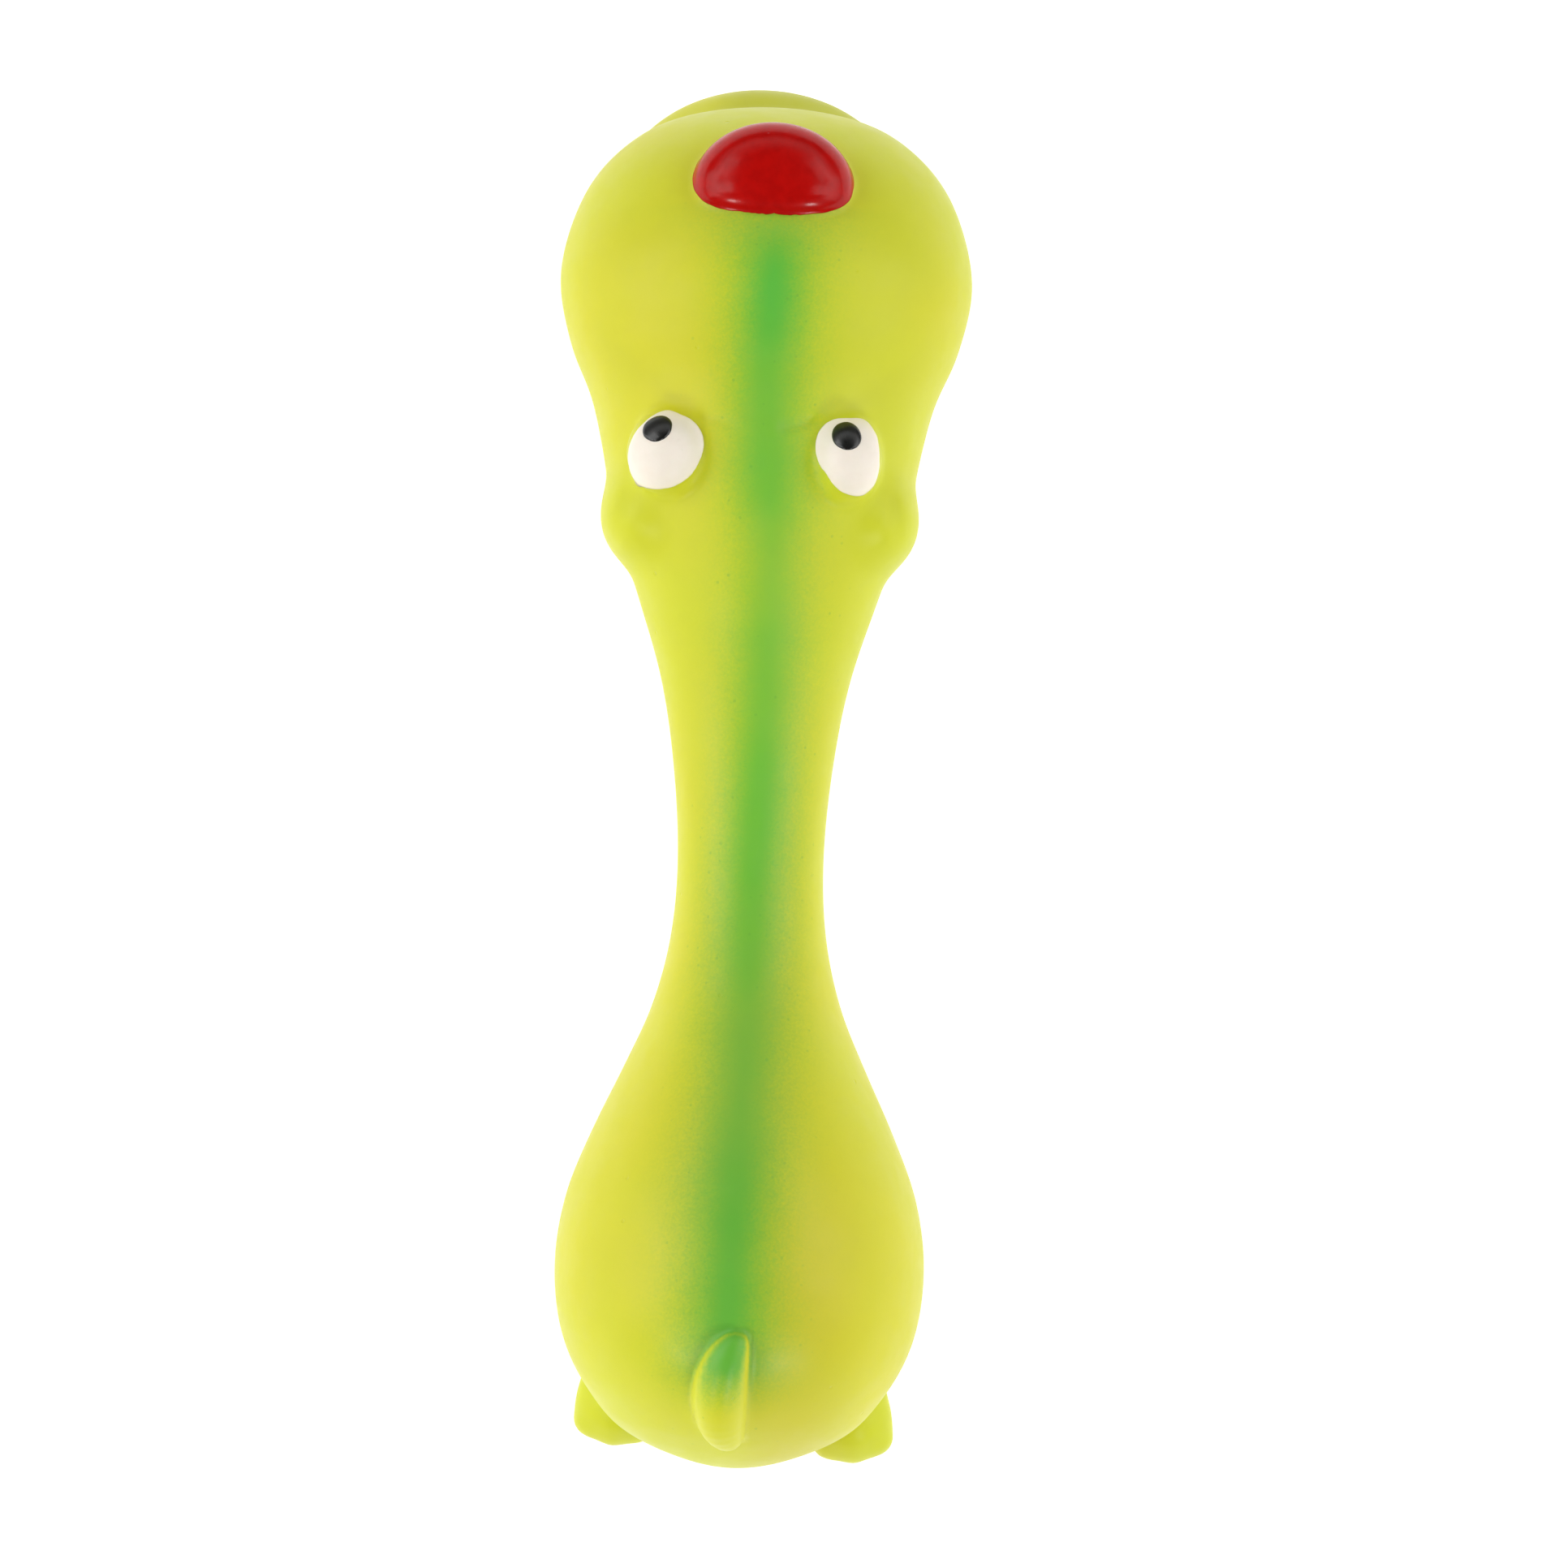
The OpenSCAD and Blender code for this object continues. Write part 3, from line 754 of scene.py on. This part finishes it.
# Radii of the painted shapes in mm, by angle: the dog's right first, then its front, left and rear.
WHITE_LEFT = [4.46, 4.73, 4.70, 4.55, 4.76, 4.30, 4.02, 4.19, 4.46, 4.84, 5.18, 4.99, 4.68, 4.50, 4.33, 4.25]
WHITE_RIGHT = [3.83, 3.95, 4.50, 5.06, 4.68, 4.80, 4.70, 4.20, 3.72, 3.45, 3.45, 3.92, 4.52, 4.83, 4.57, 4.05]
PUPIL_LEFT = [1.62, 1.78, 1.78, 1.62, 1.50, 1.58, 1.70, 1.78, 1.70, 1.60, 1.50, 1.52]
PUPIL_RIGHT = [1.65, 1.62, 1.68, 1.76, 1.78, 1.74, 1.65, 1.62, 1.66, 1.76, 1.82, 1.76]


PAINT = 0.26                    # the thickness of the red and white coats
DAB = 0.16                      # the thickness of the pupils


def over_white(p):
    return outside(p) - PAINT


nose_coat = coat("nose_coat_red", nose_place, outside, PAINT, 0.05, 60, 240)
dress(nose_coat, RED)
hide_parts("nose_coat")
outer_pieces = [skin, nose_coat]
for side, word, white, dot, shift in ((1, "left", WHITE_LEFT, PUPIL_LEFT, (0.98, -2.05)),
                                      (-1, "right", WHITE_RIGHT, PUPIL_RIGHT, (0.2, -2.1))):
    patch = coat(f"eye_coat_{word}", eye_place(EYES[side], white, 10 + side), outside, PAINT, 0.10)
    dress(patch, WHITE)
    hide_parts(f"eye_white_{word}")
    outer_pieces.append(patch)
    place = eye_place(EYES[side], dot, 20 + side, shift, 0.02)
    patch = coat(f"pupil_coat_{word}", place, over_white, DAB, 0.2, 16, 80)
    dress(patch, BLACK)
    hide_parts(f"pupil_{word}")
    outer_pieces.append(patch)


# ---------------------------------------------------------------- filling
def filling(name, node, seed):
    """A wad of fibre in the space that its CAD solid holds, with a lumpy surface drawn in from it."""
    lo, hi = (np.array(c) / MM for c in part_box(node))
    pocket_r, pocket_top = 14.4, 33.4       # room for the squeaker in the rump
    drawn_in = WALL + 0.9 + 0.6
    rng = np.random.default_rng(seed)
    count = 14
    waves = [(rng.normal(size=3) * rng.uniform(0.12, 0.5), rng.uniform(0, 6.28)) for _ in range(count)]

    def wad(p):
        lumps = sum(np.sin(p @ w + phase) for w, phase in waves) / count
        f = join(body(p), ellipsoid(p, CHIN, CHIN_SIZE), 2.0) + drawn_in + 0.9 * lumps
        f = cut(f, lo[1] + 0.4 - p[:, 1], 3.0)
        f = cut(f, p[:, 1] - hi[1] + 0.4, 3.0)
        f = cut(f, lo[2] + 0.4 - p[:, 2], 2.0)
        if node == "rump_filling":
            f = cut(f, -tube(p, pocket_r, -9, pocket_top), 1.0)
        return f

    step = 1.5
    grid = [np.arange(a - 2 * step, b + 3 * step, step) for a, b in zip(lo, hi)]
    points, faces = surface_net(wad, *grid)
    points = settle(wad, points)
    obj = mesh_object(name, points, faces)
    dress(obj, FIBRE)
    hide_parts(node)
    return obj


wads = [filling("muzzle_wad", "muzzle_filling", 1), filling("waist_wad", "waist_filling", 2),
        filling("rump_wad", "rump_filling", 3)]

# ---------------------------------------------------------------- squeaker
# The CAD pieces, with their materials.
for node, material in (("whistle_barrel", WHISTLE), ("whistle_cap", WHISTLE), ("reed_block", REED_PLASTIC),
                       ("reed_wedge", REED_PLASTIC), ("reed", REED_FILM), ("bellows_crown", BELLOWS),
                       ("squeaker_bellows", BELLOWS)):
    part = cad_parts[node]
    part.data.materials.clear()
    part.data.materials.append(material)


def soft_bellows():
    """The folded wall, with rounded folds, in place of the CAD one."""
    lo, hi = (np.array(c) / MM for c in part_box("squeaker_bellows"))
    folds, fold_depth, wall, neck = 3, 3.4, 0.6, 4.8
    top, low_z = hi[2], 12.6        # the folds' height, from the neck's top
    big = (hi[0] - lo[0]) / 2
    small = big - fold_depth
    zs = np.linspace(low_z + 0.4, top, 73)
    wave = 0.5 - 0.5 * np.cos((zs - zs[0]) / (zs[-1] - zs[0]) * folds * 2 * math.pi)
    rs = small + (big - small) * wave**0.8
    outer = [(neck + 0.02, lo[2]), (neck + 0.9, lo[2]), (neck + 0.9, low_z)] + list(zip(rs, zs))
    inner = [(r - wall, z) for r, z in zip(rs[::-1], zs[::-1])]
    inner += [(small - wall, low_z + wall), (neck + 0.02, low_z + wall)]
    ring = np.array(outer + inner)
    turn = np.linspace(0, 2 * math.pi, 72, endpoint=False)
    n, m = len(turn), len(ring)
    points = np.array([(r * math.cos(a), SQUEAKER[1] + r * math.sin(a), z) for a in turn for r, z in ring])
    i, j = (v.ravel() for v in np.meshgrid(np.arange(n), np.arange(m), indexing="ij"))
    i1, j1 = (i + 1) % n, (j + 1) % m
    faces = np.stack([i * m + j, i1 * m + j, i1 * m + j1, i * m + j1], 1)
    return mesh_object("bellows_wall", points, faces)


bellows = soft_bellows()
dress(bellows, BELLOWS)
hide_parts("squeaker_bellows")
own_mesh(bellows)

# the skin, the coats and the wads each get a mesh of their own
for soft in outer_pieces:
    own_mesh(soft)
for soft in wads:
    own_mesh(soft)

# ---------------------------------------------------------------- floor, light and camera
floor_mesh = bpy.data.meshes.new("floor")
floor_mesh.from_pydata([(-3, -3, 0), (3, -3, 0), (3, 3, 0), (-3, 3, 0)], [], [(0, 1, 2, 3)])
floor = add_object("floor", floor_mesh)
floor.location.z = -0.00002
sheet = new_material("floor_white")
floor.data.materials.append(sheet.finish(
    Base_Color=(0.6, 0.6, 0.6, 1), Roughness=0.9, Emission_Color=(1, 1, 1, 1), Emission_Strength=0.72))

# a soft sky with a bright band half way up, a little brighter to the sides
world = bpy.data.worlds.new("studio")
bpy.context.scene.world = world
sky = Nodes(world)
way = sky.add("ShaderNodeSeparateXYZ", Vector=sky.add("ShaderNodeTexCoord").outputs["Generated"])
side, ahead = (sky.math("MULTIPLY", v, v) for v in way.outputs[:2])
band = sky.ramp(sky.math("ABSOLUTE", sky.math("SUBTRACT", way.outputs[2], 0.5)), 0.0, 0.3, 1.0, 0.0)
front = sky.ramp(way.outputs[1], -0.2, 0.2, 1.25, 0.1)
round_about = sky.math("MULTIPLY_ADD", side, 1.43, sky.math("MULTIPLY", ahead, front))
backdrop = sky.tree.nodes["Background"]
sky.put(backdrop.inputs["Strength"], sky.math("MULTIPLY", band, round_about))
backdrop.inputs["Color"].default_value = (1, 1, 1, 1)


def lamp(name, at, size, radiance):
    """A rectangular soft box that faces the toy."""
    target = (0, 0, 0.02)
    data = bpy.data.lights.new(name, "AREA")
    data.shape = "RECTANGLE"
    data.size, data.size_y = size
    data.energy = radiance * math.pi * size[0] * size[1]
    obj = add_object(name, data)
    obj.location = at
    back = [a - b for a, b in zip(at, target)]
    obj.rotation_euler = Vector(back).to_track_quat("Z", "Y").to_euler()


# soft boxes low and high on both sides, two more in front, and two bright ones behind
lamp("box_left", (0.95, 0.0, 0.42), (1.0, 0.6), 1.75)
lamp("box_right", (-0.95, 0.0, 0.42), (1.0, 0.6), 1.4)
lamp("high_left", (0.70, 0.0, 0.85), (0.46, 0.46), 2.9)
lamp("high_right", (-0.70, 0.0, 0.85), (0.46, 0.46), 2.3)
lamp("front_left", (0.74, -0.62, 0.87), (0.5, 0.5), 1.9)
lamp("front_right", (-0.74, -0.62, 0.87), (0.5, 0.5), 1.6)
lamp("back_left", (0.56, 0.84, 0.66), (0.17, 0.17), 27)
lamp("back_right", (-0.50, 0.93, 0.57), (0.17, 0.17), 31)

WIDE = 0.1932                   # what the view takes in, in metres, at AIM
TILT, ROLL = math.radians(5), math.radians(-1.556)
AIM = np.array([-0.0038, 0.0024, 0.022])        # at the height of the toy's widest places
DISTANCE = 0.678                # from the camera to AIM
SENSOR = 36
camera_data = bpy.data.cameras.new("camera")
camera = add_object("camera", camera_data)
bpy.context.scene.camera = camera
camera_data.sensor_width = SENSOR
camera_data.lens = SENSOR * DISTANCE / WIDE
# the camera looks down along -back; the dog's nose is at the top of the view
back = np.array([0, math.sin(TILT), math.cos(TILT)])
level_up = np.array([0, -math.cos(TILT), math.sin(TILT)])
level_right = np.cross(level_up, back)
up = level_up * math.cos(ROLL) + level_right * math.sin(ROLL)
right = level_right * math.cos(ROLL) - level_up * math.sin(ROLL)
axes = np.stack([right, up, back, AIM + back * DISTANCE], axis=1)
camera.matrix_world = Matrix([*axes.tolist(), (0, 0, 0, 1)])
camera_data.clip_start, camera_data.clip_end = 0.05, 20
bpy.context.scene.view_settings.view_transform = "Standard"
